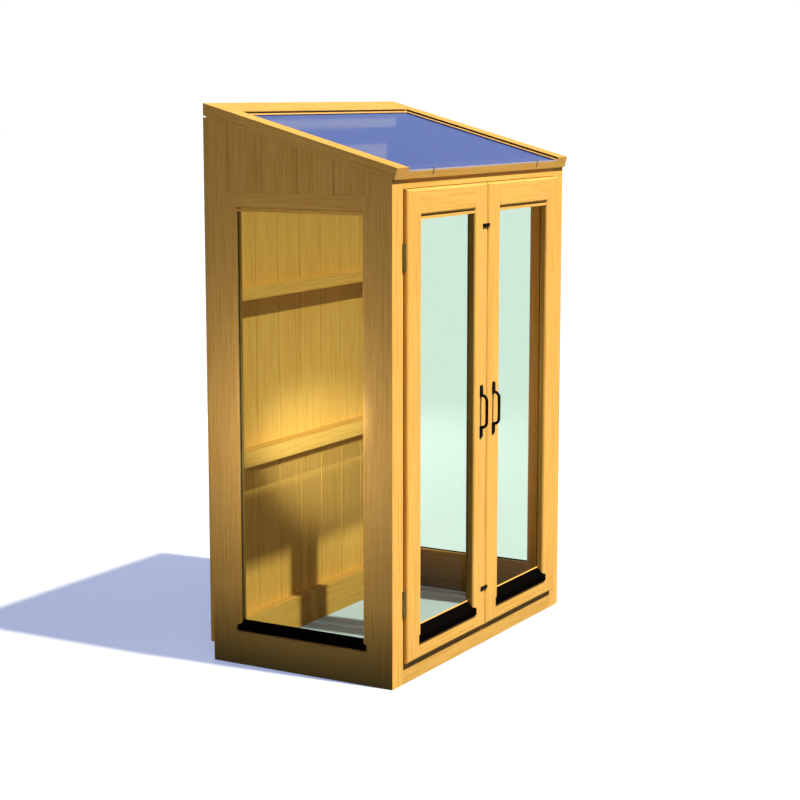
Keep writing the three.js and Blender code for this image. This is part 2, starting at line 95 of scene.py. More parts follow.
class Graph:
    """A node tree, with one call for each node."""

    def __init__(self, tree):
        self.tree = tree

    def give(self, socket, value):
        """Links a socket, or sets its constant."""
        if isinstance(value, bpy.types.NodeSocket):
            self.tree.links.new(value, socket)
        else:
            socket.default_value = value

    def add(self, kind, inputs=None, **settings):
        node = self.tree.nodes.new(kind)
        for name, value in settings.items():
            setattr(node, name, value)
        for name, value in (inputs or {}).items():
            self.give(node.inputs[name], value)
        return node

    def math(self, operation, *values, clamp=False):
        inputs = dict(enumerate(values))
        node = self.add("ShaderNodeMath", inputs, operation=operation, use_clamp=clamp)
        return node.outputs[0]

    def stretched(self, vector, along):
        """The vector with its Z multiplied."""
        inputs = {0: vector, 1: (1.0, 1.0, along)}
        return self.add("ShaderNodeVectorMath", inputs, operation="MULTIPLY").outputs[0]

    def noise(self, vector, scale, detail, roughness):
        inputs = {"Vector": vector, "Scale": scale, "Detail": detail, "Roughness": roughness}
        return self.add("ShaderNodeTexNoise", inputs).outputs["Fac"]

    def spread(self, value, low, high, to_low=0.0, to_high=1.0):
        """The value's range from low to high, moved to another range and held there."""
        inputs = {"Value": value, 1: low, 2: high, 3: to_low, 4: to_high}
        return self.add("ShaderNodeMapRange", inputs).outputs["Result"]

    def mix(self, share, first, second, blend="MIX"):
        node = self.add("ShaderNodeMix", data_type="RGBA", blend_type=blend)
        for index, value in {0: share, 6: first, 7: second}.items():
            self.give(node.inputs[index], value)
        return node.outputs[2]

    def multiply(self, share, color, factor):
        return self.mix(share, color, factor, "MULTIPLY")

    def blend(self, share, first, second):
        """The output of a shader that mixes two."""
        return self.add("ShaderNodeMixShader", {0: share, 1: first, 2: second}).outputs[0]

    def coordinates(self, name):
        return self.add("ShaderNodeTexCoord").outputs[name]

    def parts(self, vector):
        """The X, Y and Z of a vector."""
        return self.add("ShaderNodeSeparateXYZ", {"Vector": vector}).outputs

    def light_path(self, name):
        return self.add("ShaderNodeLightPath").outputs[name]

    def bump(self, height, strength, distance):
        inputs = {"Strength": strength, "Distance": distance, "Height": height}
        return self.add("ShaderNodeBump", inputs).outputs["Normal"]


def new_material(name):
    material = bpy.data.materials.new(name)
    material.use_nodes = True
    material.node_tree.nodes.clear()
    return material, Graph(material.node_tree)


def finish_material(graph, surface):
    graph.add("ShaderNodeOutputMaterial", {"Surface": surface})


# World and lamps

SUN_TRAVEL = (-0.0445, 0.577, -1.0)
SUN_LEVEL = 1.84
SUN_WIDTH = math.radians(1.6)
SKY_LEVEL = 0.235
SKY_LEAN = (0.17, 0.10, 0.03)
SKY_COLOR = rgba(0.90, 0.97, 1.18)
WHITE = rgba(1.0, 1.0, 1.0)
LAMP_COLOR = (0.98, 1.0, 1.22)
# name, diameter, power, place, direction
FILLS = [
    ("front_fill", 2.2, 4.5, (0.6, -3.6, 1.0), (0.0, 1.0, 0.0)),
    ("side_fill", 0.6, 1.3, (-1.6, 0.0, 2.0), (1.0, 0.0, -0.1)),
    ("back_fill", 1.8, 70.0, (3.2, 3.4, 1.6), (-1.0, -1.0, -0.1)),
]
# name, radius, power, place
BULBS = [
    ("side_lamp", 0.12, 5.2, (-1.00, 0.01, 0.77)),
    ("inside_lamp", 0.15, 1.1, (0.02, -0.08, 0.80)),
]
GLOW_PLACE = Vector((-1.637, -0.55, 1.22))
GLOW_TARGET = Vector((0.10, 0.33, 0.565))
GLOW_POWER = 330.0
GLOW_CONE = math.radians(18)
GLOW_RADIUS = 0.05


def seen_directly(graph):
    """1 for a ray that shows the background: straight, in a mirror or through glass."""
    path = graph.add("ShaderNodeLightPath").outputs
    shown = graph.math("MAXIMUM", path["Is Camera Ray"], path["Is Glossy Ray"])
    return graph.math("MAXIMUM", shown, path["Is Transmission Ray"])


def add_world():
    """A sky that lights the object, and a white background for rays that show it."""
    world = bpy.data.worlds.new("world")
    bpy.context.scene.world = world
    world.use_nodes = True
    world.node_tree.nodes.clear()
    graph = Graph(world.node_tree)
    lean = graph.add("ShaderNodeVectorMath", {
        0: graph.coordinates("Generated"), 1: SKY_LEAN}, operation="DOT_PRODUCT")
    level = graph.math("ADD", lean.outputs["Value"], SKY_LEVEL)
    light = graph.add("ShaderNodeBackground", {"Color": SKY_COLOR, "Strength": level})
    white = graph.add("ShaderNodeBackground", {"Color": WHITE, "Strength": 1.0})
    shown = graph.blend(seen_directly(graph), light.outputs[0], white.outputs[0])
    graph.add("ShaderNodeOutputWorld", {"Surface": shown})


def add_lamp(name, data, place, aim):
    lamp = bpy.data.objects.new(name, data)
    lamp.location = place
    lamp.rotation_mode = "QUATERNION"
    lamp.rotation_quaternion = Vector(aim).to_track_quat("-Z", "Y")
    bpy.context.scene.collection.objects.link(lamp)
    return lamp


def add_fill(name, data, place, aim):
    """A lamp that neither the camera nor a mirror shows."""
    data.color = LAMP_COLOR
    lamp = add_lamp(name, data, place, aim)
    lamp.visible_camera = False
    lamp.visible_glossy = False


def add_lamps():
    sun = bpy.data.lights.new("key", "SUN")
    sun.energy = SUN_LEVEL * math.pi
    sun.angle = SUN_WIDTH
    add_lamp("key", sun, (0.0, 0.0, 0.0), SUN_TRAVEL)
    for name, size, power, place, aim in FILLS:
        panel = bpy.data.lights.new(name, "AREA")
        panel.shape = "DISK"
        panel.size = size
        panel.energy = power
        add_fill(name, panel, place, aim)
    for name, radius, power, place in BULBS:
        bulb = bpy.data.lights.new(name, "POINT")
        bulb.shadow_soft_size = radius
        bulb.energy = power
        add_fill(name, bulb, place, ALONG_X)
    glow = bpy.data.lights.new("window_lamp", "SPOT")
    glow.energy = GLOW_POWER
    glow.spot_size = GLOW_CONE
    glow.spot_blend = 1.0
    glow.shadow_soft_size = GLOW_RADIUS
    add_fill("window_lamp", glow, GLOW_PLACE, GLOW_TARGET - GLOW_PLACE)


# Cards and floor

CARD_X = 4.0
# (y, z) of each card's corners
CARDS = [
    [(1.991, 2.874), (2.90, 3.430), (2.90, 3.500), (1.967, 2.915)],
    [(1.970, 3.029), (2.60, 3.445), (2.60, 3.900), (1.860, 3.220)],
]
CARD_COLOR = rgba(1.92, 1.55, 1.08)
FLOOR_HALF = 60.0
FLOOR_COLOR = rgba(0.47, 0.45, 0.34)
FLOOR_LIFT = rgba(0.22, 0.28, 0.51)
FLOOR_SHADED_INSIDE_COLOR = rgba(0.52, 0.60, 0.66)
FLOOR_UNSEEN_COLOR = rgba(0.035, 0.035, 0.035)
# from the inside of the walls to the outside, across X and across Y
INSIDE_X = (0.56, 0.62)
INSIDE_Y = (0.31, 0.37)


def stage_object(name, corners, faces, material):
    mesh = bpy.data.meshes.new(name)
    mesh.from_pydata(corners, [], faces)
    mesh.materials.append(material)
    obj = bpy.data.objects.new(name, mesh)
    bpy.context.scene.collection.objects.link(obj)
    return obj


def add_cards():
    """Two cards that only mirrors show: the pale band and the pale patch in the roof glass."""
    material, graph = new_material("cards")
    glow = graph.add("ShaderNodeEmission", {"Color": CARD_COLOR, "Strength": 1.0})
    finish_material(graph, glow.outputs[0])
    corners = [(CARD_X, y, z) for card in CARDS for y, z in card]
    cards = stage_object("cards", corners, [(0, 1, 2, 3), (4, 5, 6, 7)], material)
    cards.visible_camera = False
    cards.visible_diffuse = False
    cards.visible_shadow = False
    cards.visible_transmission = False


def add_floor():
    """A floor that looks white in the light and bluish in shadow, and sends back little light."""
    material, graph = new_material("floor")
    place = graph.parts(graph.coordinates("Object"))
    # Painted shade: inside the walls the floor loses its lift and takes a darker colour.
    inside = graph.math(
        "MULTIPLY",
        graph.spread(graph.math("ABSOLUTE", place["X"]), *INSIDE_X, 1.0, 0.0),
        graph.spread(graph.math("ABSOLUTE", place["Y"]), *INSIDE_Y, 1.0, 0.0))
    pale = graph.add("ShaderNodeBsdfDiffuse", {
        "Color": graph.mix(inside, FLOOR_COLOR, FLOOR_SHADED_INSIDE_COLOR)})
    lift = graph.add("ShaderNodeEmission", {
        "Color": FLOOR_LIFT, "Strength": graph.spread(inside, 0.0, 1.0, 1.0, 0.0)})
    shown = graph.add("ShaderNodeAddShader", {0: pale.outputs[0], 1: lift.outputs[0]})
    lit = graph.add("ShaderNodeBsdfDiffuse", {"Color": FLOOR_UNSEEN_COLOR})
    finish_material(graph, graph.blend(seen_directly(graph), lit.outputs[0], shown.outputs[0]))
    half = FLOOR_HALF
    corners = [(-half, -half, 0), (half, -half, 0), (half, half, 0), (-half, half, 0)]
    stage_object("floor", corners, [(0, 1, 2, 3)], material)


# Timber

TIMBER_LIGHT = rgba(1.0, 0.555, 0.118)
TIMBER_DARK = rgba(0.80, 0.360, 0.055)
TIMBER_LINE = rgba(0.52, 0.19, 0.025)
SEAM_COLOR = rgba(0.30, 0.14, 0.03)
TIMBER_SPECULAR = 0.07

RING_STRETCH = 0.045
RINGS = {
    "Scale": 30.0, "Distortion": 5.5, "Detail": 2.0,
    "Detail Scale": 0.5, "Detail Roughness": 0.55,
}
RING_RANGE = (0.25, 1.0)
RING_SHARE = 0.15
RING_HEIGHT = -0.25
# scale, stretch along the grain, detail, roughness
FIBRE_NOISE = (380.0, 0.022, 3.0, 0.65)
STREAK_NOISE = (260.0, 0.014, 2.0, 0.6)
PORE_NOISE = (900.0, 0.035, 1.0, 0.5)
BROAD_NOISE = (7.0, 0.25, 1.0, 0.5)
# range of the noise, then what it gives: darkness, pore share or roughness
FIBRE_TONE = (0.3, 0.7, -0.24, 0.40)
STREAK_TONE = (0.35, 0.65, -0.42, 0.48)
BROAD_TONE = (0.3, 0.7, -0.07, 0.09)
PORE_SHARE = (0.60, 0.72, 0.0, 0.30)
FIBRE_ROUGHNESS = (0.3, 0.7, 0.58, 0.74)
PORE_DEPTH = 1.2
GRAIN_STRENGTH = 0.5
GRAIN_DEPTH = 0.0006

# Factors on the timber's colour. All but the last are painted shade: on faces turned up, at the
# foot, on a door's reveal, and the doors' shadow on the threshold. The last dims the colour that
# light takes on when it bounces off the timber.
TOP_SHADE_FACTOR = rgba(0.66, 0.62, 0.58)
FOOT_SHADE_FACTOR = rgba(0.20, 0.25, 0.30)
REVEAL_SHADE_FACTOR = rgba(0.50, 0.60, 0.72)
DOOR_SHADOW_FACTOR = rgba(0.42, 0.46, 0.55)
BOUNCE_FACTOR = rgba(0.80, 0.82, 0.80)
TOP_SHADE_FACING = (0.45, 0.95)
FOOT_SHADE_HEIGHT = 0.26
REVEAL_SHADE_FACING = (0.8, 1.0)
DOOR_SHADOW_HEIGHTS = (0.044, 0.049)
FOOT_SHADE_PANEL = 1.0
FOOT_SHADE_THRESHOLD = 0.25
FOOT_SHADE_LOW_PIECE = 0.15
LOW_PIECE_FOOT = 0.1

# The pith's place beside a piece, and how it and the tone change with the seed
PITH_MIDDLE = (0.05, 0.07)
PITH_REACH = (0.03, 0.02)
PITH_STEPS = (2.3, 1.7, 0.61)
TONE_SPREAD = 0.04
TONE_STEP = 5.1
BOARD_TONE_SPREAD = 0.08
BOARD_CHANCE = 0.37
BOARD_SHIFT = (0.06, 0.03, 9.0)
BOARD_DEPTH = 0.06
TURNS = {
    "x": (0.0, -QUARTER, 0.0),
    "y": (QUARTER, 0.0, 0.0),
    "z": (0.0, 0.0, 0.0),
    "rake": (QUARTER - ROOF_PITCH, 0.0, 0.0),
}


def grain_group():
    """Growth rings round an axis along Z, with fibres and pores that run along it."""
    tree = bpy.data.node_groups.new("grain", "ShaderNodeTree")
    for name, direction, kind in (
            ("Vector", "INPUT", "Vector"), ("Tone", "INPUT", "Float"),
            ("Color", "OUTPUT", "Color"), ("Roughness", "OUTPUT", "Float"),
            ("Height", "OUTPUT", "Float")):
        tree.interface.new_socket(name, in_out=direction, socket_type=f"NodeSocket{kind}")
    graph = Graph(tree)
    given = graph.add("NodeGroupInput").outputs

    def layer(scale, stretch, detail, roughness):
        return graph.noise(graph.stretched(given["Vector"], stretch), scale, detail, roughness)

    wave = graph.add(
        "ShaderNodeTexWave", {"Vector": graph.stretched(given["Vector"], RING_STRETCH), **RINGS},
        wave_type="RINGS", rings_direction="Z", wave_profile="SAW")
    ring = graph.spread(wave.outputs["Fac"], *RING_RANGE)
    fibre = layer(*FIBRE_NOISE)
    streak = layer(*STREAK_NOISE)
    broad = layer(*BROAD_NOISE)
    pores = graph.spread(layer(*PORE_NOISE), *PORE_SHARE)
    dark = graph.math(
        "ADD", graph.math("MULTIPLY", ring, RING_SHARE), graph.spread(fibre, *FIBRE_TONE))
    dark = graph.math("ADD", dark, graph.spread(streak, *STREAK_TONE))
    dark = graph.math("ADD", dark, graph.spread(broad, *BROAD_TONE))
    dark = graph.math("ADD", dark, given["Tone"], clamp=True)
    color = graph.mix(pores, graph.mix(dark, TIMBER_LIGHT, TIMBER_DARK), TIMBER_LINE)
    height = graph.math("ADD", graph.math("MULTIPLY", ring, RING_HEIGHT), fibre)
    height = graph.math("SUBTRACT", height, graph.math("MULTIPLY", pores, PORE_DEPTH))
    graph.add("NodeGroupOutput", {
        "Color": color,
        "Roughness": graph.spread(fibre, *FIBRE_ROUGHNESS),
        "Height": height,
    })
    return tree


GRAIN = grain_group()


def timber_surface(graph, vector, tone, seam=None, damp=0.0, reveal=False, drip=False):
    """The timber's surface, where vector gives the place in the wood.

    seam is the share of the dark colour of a joint between boards. damp is painted shade
    that darkens the foot: at FOOT_SHADE_PANEL only on faces across X. reveal paints shade on
    faces across X, and drip paints the doors' shadow on the front face above
    DOOR_SHADOW_HEIGHTS. Faces turned up always get painted shade.
    """
    grain = graph.add("ShaderNodeGroup", node_tree=GRAIN)
    graph.give(grain.inputs["Vector"], vector)
    graph.give(grain.inputs["Tone"], tone)
    color = grain.outputs["Color"]
    if seam is not None:
        color = graph.mix(seam, color, SEAM_COLOR)
    facing = graph.parts(graph.coordinates("Normal"))
    height = graph.parts(graph.coordinates("Object"))["Z"]
    # Painted shade: faces turned up are darkened.
    color = graph.multiply(graph.spread(facing["Z"], *TOP_SHADE_FACING), color, TOP_SHADE_FACTOR)
    # Painted shade: the foot grows darker towards the ground, on the panels only on faces across
    # X.
    if damp:
        shaded_foot = graph.spread(height, 0.0, FOOT_SHADE_HEIGHT, damp, 0.0)
        if damp == FOOT_SHADE_PANEL:
            shaded_foot = graph.math("MULTIPLY", shaded_foot, graph.math("ABSOLUTE", facing["X"]))
        color = graph.multiply(shaded_foot, color, FOOT_SHADE_FACTOR)
    # Painted shade on faces across X.
    if reveal:
        side = graph.spread(graph.math("ABSOLUTE", facing["X"]), *REVEAL_SHADE_FACING)
        color = graph.multiply(side, color, REVEAL_SHADE_FACTOR)
    # Painted shadow: the doors' shadow on the threshold's front face, above a given height.
    if drip:
        front = graph.math("MULTIPLY", facing["Y"], -1.0, clamp=True)
        shadow_band = graph.math("MULTIPLY", front, graph.spread(height, *DOOR_SHADOW_HEIGHTS))
        color = graph.multiply(shadow_band, color, DOOR_SHADOW_FACTOR)
    sent_on = graph.multiply(1.0, color, BOUNCE_FACTOR)
    color = graph.mix(graph.light_path("Is Diffuse Ray"), color, sent_on)
    return graph.add("ShaderNodeBsdfPrincipled", {
        "Base Color": color,
        "Roughness": grain.outputs["Roughness"],
        "Specular IOR Level": TIMBER_SPECULAR,
        "Normal": graph.bump(grain.outputs["Height"], GRAIN_STRENGTH, GRAIN_DEPTH),
    }).outputs[0]


def timber_material(name, direction, centre, seed, **marks):
    """Timber whose grain runs along direction, with its pith beside the piece's middle."""
    material, graph = new_material(f"timber_{name}")
    turn = Matrix.Identity(3)
    for axis, angle in zip("XYZ", TURNS[direction]):
        turn = Matrix.Rotation(angle, 3, axis) @ turn
    pith = Vector((
        PITH_MIDDLE[0] + PITH_REACH[0] * math.sin(PITH_STEPS[0] * seed),
        PITH_MIDDLE[1] + PITH_REACH[1] * math.cos(PITH_STEPS[1] * seed),
        PITH_STEPS[2] * seed,
    ))
    mapping = graph.add("ShaderNodeMapping", {
        "Vector": graph.coordinates("Object"),
        "Rotation": TURNS[direction],
        "Location": pith - turn @ centre,
    })
    tone = TONE_SPREAD * math.sin(TONE_STEP * seed)
    finish_material(graph, timber_surface(graph, mapping.outputs[0], tone, **marks))
    return material


def board_material(name, axis, start, pitch, seed, tone, seam_share, seam_width):
    """Upright boards side by side along an axis, each with its own grain and tone."""
    material, graph = new_material(f"boards_{name}")
    place = graph.parts(graph.coordinates("Object"))
    across, through = (place["X"], place["Y"]) if axis == "x" else (place["Y"], place["X"])
    steps = graph.math("DIVIDE", graph.math("SUBTRACT", across, start), pitch)
    board = graph.math("FLOOR", steps)
    local = graph.math("SUBTRACT", graph.math("SUBTRACT", steps, board), 0.5)
    chance = graph.add("ShaderNodeTexWhiteNoise", {
        "W": graph.math("ADD", board, BOARD_CHANCE + seed)}, noise_dimensions="1D").outputs
    shift = graph.parts(chance["Color"])
    shift_x, shift_y, shift_z = (
        graph.math("MULTIPLY", shift[part], reach) for part, reach in zip("XYZ", BOARD_SHIFT))
    vector = graph.add("ShaderNodeCombineXYZ", {
        "X": graph.math("ADD", graph.math("MULTIPLY", local, pitch), shift_x),
        "Y": graph.math("ADD", through, graph.math("ADD", shift_y, BOARD_DEPTH)),
        "Z": graph.math("ADD", place["Z"], shift_z),
    }).outputs[0]
    board_tone = graph.math(
        "ADD", graph.math("MULTIPLY", chance["Value"], BOARD_TONE_SPREAD),
        tone - BOARD_TONE_SPREAD / 2)
    inward = graph.math("SUBTRACT", 0.5, graph.math("ABSOLUTE", local))
    edge = graph.math("MULTIPLY", inward, pitch)
    seam = graph.math("MULTIPLY", graph.spread(edge, 0.0, seam_width, 1.0, 0.0), seam_share)
    finish_material(graph, timber_surface(graph, vector, board_tone, seam))
    return material


def grain_direction(name):
    if "rake" in name:
        return "rake"
    if name.startswith(("left_panel", "right_panel")) and ("rail" in name or "bead" in name):
        return "y"
    if "stile" in name or "post" in name:
        return "z"
    return "x"


# How strongly painted shade darkens the foot of a piece.
def foot_damp(name, foot):
    if "panel" in name:
        return FOOT_SHADE_PANEL
    if name == "front_threshold":
        return FOOT_SHADE_THRESHOLD
    return FOOT_SHADE_LOW_PIECE if foot < LOW_PIECE_FOOT else 0.0


# Paint, metal, seals and glass

# detail and roughness of the noise
COAT_BROAD = (3.0, 0.55)
COAT_FINE = (2.0, 0.6)
COAT_FINE_SCALE = 9.0
COAT_COLOR_RANGE = (0.35, 0.65)
COAT_FINE_RANGE = (0.3, 0.7)
COAT_SMOOTHER = 0.07
COAT_ROUGHER = 0.09
COAT_STRENGTH = 0.4
MIRROR_POWER = 5.0
GLASS_EDGE_FACING = -0.7
GLASS_EDGE_HIGHLIGHT_SHARE = 0.9
WIPE_NOISE = (3.0, 3.0, 0.6)
WIPE_ROUGHNESS = (0.35, 0.65, 0.02, 0.05)


def plain_material(name, color, second, roughness, scale, bump, metallic=0.0, specular=0.5):
    """A coating whose colour and roughness vary softly."""
    material, graph = new_material(name)
    place = graph.coordinates("Object")
    broad = graph.noise(place, scale, *COAT_BROAD)
    fine = graph.noise(place, scale * COAT_FINE_SCALE, *COAT_FINE)
    surface = graph.add("ShaderNodeBsdfPrincipled", {
        "Base Color": graph.mix(graph.spread(broad, *COAT_COLOR_RANGE), color, second),
        "Roughness": graph.spread(
            fine, *COAT_FINE_RANGE, roughness - COAT_SMOOTHER, roughness + COAT_ROUGHER),
        "Metallic": metallic,
        "Specular IOR Level": specular,
        "Normal": graph.bump(fine, COAT_STRENGTH, bump),
    })
    finish_material(graph, surface.outputs[0])
    return material


def glass_material(name, tint, lamp_tint, mirror_color, mirror_range, body=None):
    """A clear sheet seen through twice, with a mirror share that grows at flat angles.

    body is the colour that the sheet adds, a painted reflection of a blue sky, its share and the
    pale colour of the edge at the front, a painted highlight.
    """
    material, graph = new_material(name)
    facing = graph.add("ShaderNodeLayerWeight", {"Blend": 0.5}).outputs["Facing"]
    mirror = graph.spread(graph.math("POWER", facing, MIRROR_POWER), 0.0, 1.0, *mirror_range)
    lamp_ray = graph.light_path("Is Shadow Ray")
    clear = graph.add("ShaderNodeBsdfTransparent", {"Color": graph.mix(lamp_ray, tint, lamp_tint)})
    sheet = clear.outputs[0]
    if body:
        body_color, body_share, edge_highlight_color = body
        # Painted highlight: the sheet's front edge takes a pale colour.
        backward = graph.parts(graph.coordinates("Normal"))["Y"]
        edge = graph.math("LESS_THAN", backward, GLASS_EDGE_FACING)
        solid = graph.add("ShaderNodeBsdfDiffuse", {
            "Color": graph.mix(edge, body_color, edge_highlight_color)})
        closed = graph.math(
            "MAXIMUM", graph.math("MULTIPLY", edge, GLASS_EDGE_HIGHLIGHT_SHARE), body_share)
        closed = graph.math("MULTIPLY", closed, graph.math("SUBTRACT", 1.0, lamp_ray))
        sheet = graph.blend(closed, sheet, solid.outputs[0])
    wiped = graph.noise(graph.coordinates("Object"), *WIPE_NOISE)
    gloss = graph.add("ShaderNodeBsdfGlossy", {
        "Color": mirror_color, "Roughness": graph.spread(wiped, *WIPE_ROUGHNESS)})
    finish_material(graph, graph.blend(mirror, sheet, gloss.outputs[0]))
    return material


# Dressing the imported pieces

SMOOTH_ANGLE = math.radians(34)
WELD = 0.00001
TIMBER_ARRIS = 0.0005
SILL_ARRIS = 0.0006
ARRIS_SEGMENTS = 2
ARRIS_ANGLE = math.radians(40)
FLAT_ANGLE = math.radians(0.6)


def geometry_group(name):
    """An empty geometry group, its graph and the geometry that it is given."""
    tree = bpy.data.node_groups.new(name, "GeometryNodeTree")
    for direction in ("INPUT", "OUTPUT"):
        tree.interface.new_socket(
            "Geometry", in_out=direction, socket_type="NodeSocketGeometry")
    graph = Graph(tree)
    return tree, graph, graph.add("NodeGroupInput").outputs["Geometry"]


def smooth_surface_group(limit):
    """Smooth shading, but for edges that turn more than the limit."""
    tree, graph, given = geometry_group("shade_by_angle")
    smooth = graph.add("GeometryNodeSetShadeSmooth", {
        "Geometry": given, "Shade Smooth": True}, domain="FACE")
    angle = graph.add("GeometryNodeInputMeshEdgeAngle").outputs["Unsigned Angle"]
    edges = graph.add("GeometryNodeSetShadeSmooth", {
        "Geometry": smooth.outputs[0],
        "Selection": graph.math("GREATER_THAN", angle, limit),
        "Shade Smooth": False,
    }, domain="EDGE")
    graph.add("NodeGroupOutput", {"Geometry": edges.outputs[0]})
    return tree


def clean_surface_group():
    """Drops the stored normals and joins the corners that lie on each other."""
    tree, graph, given = geometry_group("clean_surface")
    bare = graph.add("GeometryNodeRemoveAttribute", {"Geometry": given, "Name": "custom_normal"})
    joined = graph.add("GeometryNodeMergeByDistance", {
        "Geometry": bare.outputs[0], "Distance": WELD})
    graph.add("NodeGroupOutput", {"Geometry": joined.outputs[0]})
    return tree


CLEAN_SURFACE = clean_surface_group()
SHADE_BY_ANGLE = smooth_surface_group(SMOOTH_ANGLE)


def shade_flat(obj):
    """Smooth shading in which the large faces stay flat up to their eased edges."""
    shade = obj.modifiers.new("shade", "NODES")
    shade.node_group = SHADE_BY_ANGLE
    even = obj.modifiers.new("even", "WEIGHTED_NORMAL")
    even.keep_sharp = True


def soften(obj, width):
    """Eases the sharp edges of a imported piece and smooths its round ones."""
    clean = obj.modifiers.new("clean", "NODES")
    clean.node_group = CLEAN_SURFACE
    flat = obj.modifiers.new("flat", "DECIMATE")
    flat.decimate_type = "DISSOLVE"
    flat.angle_limit = FLAT_ANGLE
    if width:
        bevel = obj.modifiers.new("arris", "BEVEL")
        bevel.width = width
        bevel.segments = ARRIS_SEGMENTS
        bevel.limit_method = "ANGLE"
        bevel.angle_limit = ARRIS_ANGLE
    shade_flat(obj)


def paint(obj, material):
    obj.data.materials.clear()
    obj.data.materials.append(material)


# Shapes

LATHE_SIDES = 28
TUBE_SIDES = 20
SCREW_SIDES = 20
WIRE_SIDES = 12
# share of the ease that is left to the front face, and of the inset
EASE_STEPS = [(1.0, 0.0), (0.3, 0.35), (0.0, 1.0)]
# share of the rise, and of the radius
SCREW_PROFILE = [(0.0, 1.0), (0.35, 0.97), (0.75, 0.72), (1.0, 0.30)]


def mesh_object(name, build, body, material):
    mesh = bpy.data.meshes.new(name)
    shape = bmesh.new()
    build(shape)
    bmesh.ops.recalc_face_normals(shape, faces=shape.faces)
    shape.to_mesh(mesh)
    shape.free()
    obj = bpy.data.objects.new(name, mesh)
    bpy.context.scene.collection.objects.link(obj)
    shade_flat(obj)
    paint(obj, material)
    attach(obj, body)
    return obj


def join_rings(shape, rings):
    """Faces between rings of as many corners, and one over each end."""
    count = len(rings[0])
    for near, far in zip(rings, rings[1:]):
        for i in range(count):
            j = (i + 1) % count
            shape.faces.new([near[i], near[j], far[j], far[i]])
    shape.faces.new(rings[0][::-1])
    shape.faces.new(rings[-1])


def circle(sides):
    """(cosine, sine) of each corner of a round ring."""
    turns = [2 * math.pi * i / sides for i in range(sides)]
    return [(math.cos(turn), math.sin(turn)) for turn in turns]


def arc(steps, reach):
    """The angles of an arc, from 0 to reach."""
    return [i / steps * reach for i in range(steps + 1)]


def add_lathe(shape, profile, place, axis, sides=LATHE_SIDES):
    """A turned form: profile gives (distance along the axis, radius)."""
    axis = Vector(axis).normalized()
    first = axis.orthogonal().normalized()
    second = axis.cross(first)
    rings = []
    for along, radius in profile:
        centre = Vector(place) + axis * along
        rings.append([
            shape.verts.new(centre + (first * a + second * b) * radius) for a, b in circle(sides)])
    join_rings(shape, rings)


def add_tube(shape, points, radius, sides=TUBE_SIDES):
    """A round bar through points that lie in one plane across X."""
    rings = []
    for i, point in enumerate(points):
        before, after = points[max(i - 1, 0)], points[min(i + 1, len(points) - 1)]
        along = (Vector(after) - Vector(before)).normalized()
        up = ALONG_X.cross(along).normalized()
        rings.append([
            shape.verts.new(Vector(point) + (ALONG_X * a + up * b) * radius)
            for a, b in circle(sides)])
    join_rings(shape, rings)


def add_plate(shape, outline, back, front, ease):
    """A plate across Y with an eased front edge. outline is (x, z)."""
    middle = Vector((
        sum(x for x, z in outline) / len(outline),
        sum(z for x, z in outline) / len(outline),
    ))
    steps = [(back, 0.0)] + [(front + ease * left, ease * inset) for left, inset in EASE_STEPS]
    rings = []
    for deep, inset in steps:
        ring = []
        for x, z in outline:
            away = Vector((x, z)) - middle
            spot = middle + away * (1 - inset / max(away.length, 1e-6))
            ring.append(shape.verts.new((spot.x, deep, spot.y)))
        rings.append(ring)
    join_rings(shape, rings)


def add_block(shape, low, high):
    """A box between two corners."""
    rings = []
    for z in (low[2], high[2]):
        corners = [(low[0], low[1]), (high[0], low[1]), (high[0], high[1]), (low[0], high[1])]
        rings.append([shape.verts.new((x, y, z)) for x, y in corners])
    join_rings(shape, rings)


def add_screw_head(shape, x, z, seat, radius, rise):
    """A domed screw head that stands on the plane y = seat and faces the front."""
    profile = [(rise * up, radius * out) for up, out in SCREW_PROFILE]
    add_lathe(shape, profile, (x, seat, z), -ALONG_Y, SCREW_SIDES)


def add_bar(name, outline, start, end, across, up, body, material):
    """A straight bar from start to end. outline is (across, up) from that line."""
    def build(shape):
        join_rings(shape, [
            [shape.verts.new(place + across * a + up * b) for a, b in outline]
            for place in (start, end)])

    return mesh_object(name, build, body, material)


# Ironwork

HANDLE_PLATE = 0.0040
HANDLE_BAR_RADIUS = 0.0050
HANDLE_FOOT = 0.039
HANDLE_FOOT_OVERLAP = 0.004
HANDLE_BEND = 0.020
HANDLE_ROOT = 0.001
HANDLE_STEPS = 14
HANDLE_FOOT_STEPS = 24
HANDLE_SCREWS = (0.011, 0.026)
# radius, rise
HANDLE_SCREW = (0.0032, 0.0009)
HANDLE_EASE = 0.0009
CLIP_WIRE = 0.0007
CLIP_BEND = 0.0018
CLIP_OFFSET = 0.0016
CLIP_STEPS = 8
HINGE_LENGTH = 0.080
HINGE_LEAF = 0.0008
HINGE_LEAF_START = 0.0025
KNUCKLES = 5
KNUCKLE_PITCH = 0.016
KNUCKLE_GAP = 0.0002
KNUCKLE_LENGTH = 0.0156
KNUCKLE_RADIUS = 0.0035
KNUCKLE_EASE = 0.0005
# (distance along the pin, radius)
PIN_TIP = [(0.0, 0.0030), (0.0004, 0.0031), (0.0011, 0.0028), (0.0017, 0.0018), (0.0020, 0.0006)]
BUTTON_PLATE = 0.0035
BUTTON_CORNER = 0.003
BUTTON_CORNER_STEPS = 8
BUTTON_EASE = 0.0008
# radius, rise
BUTTON_SCREW = (0.004, 0.0014)


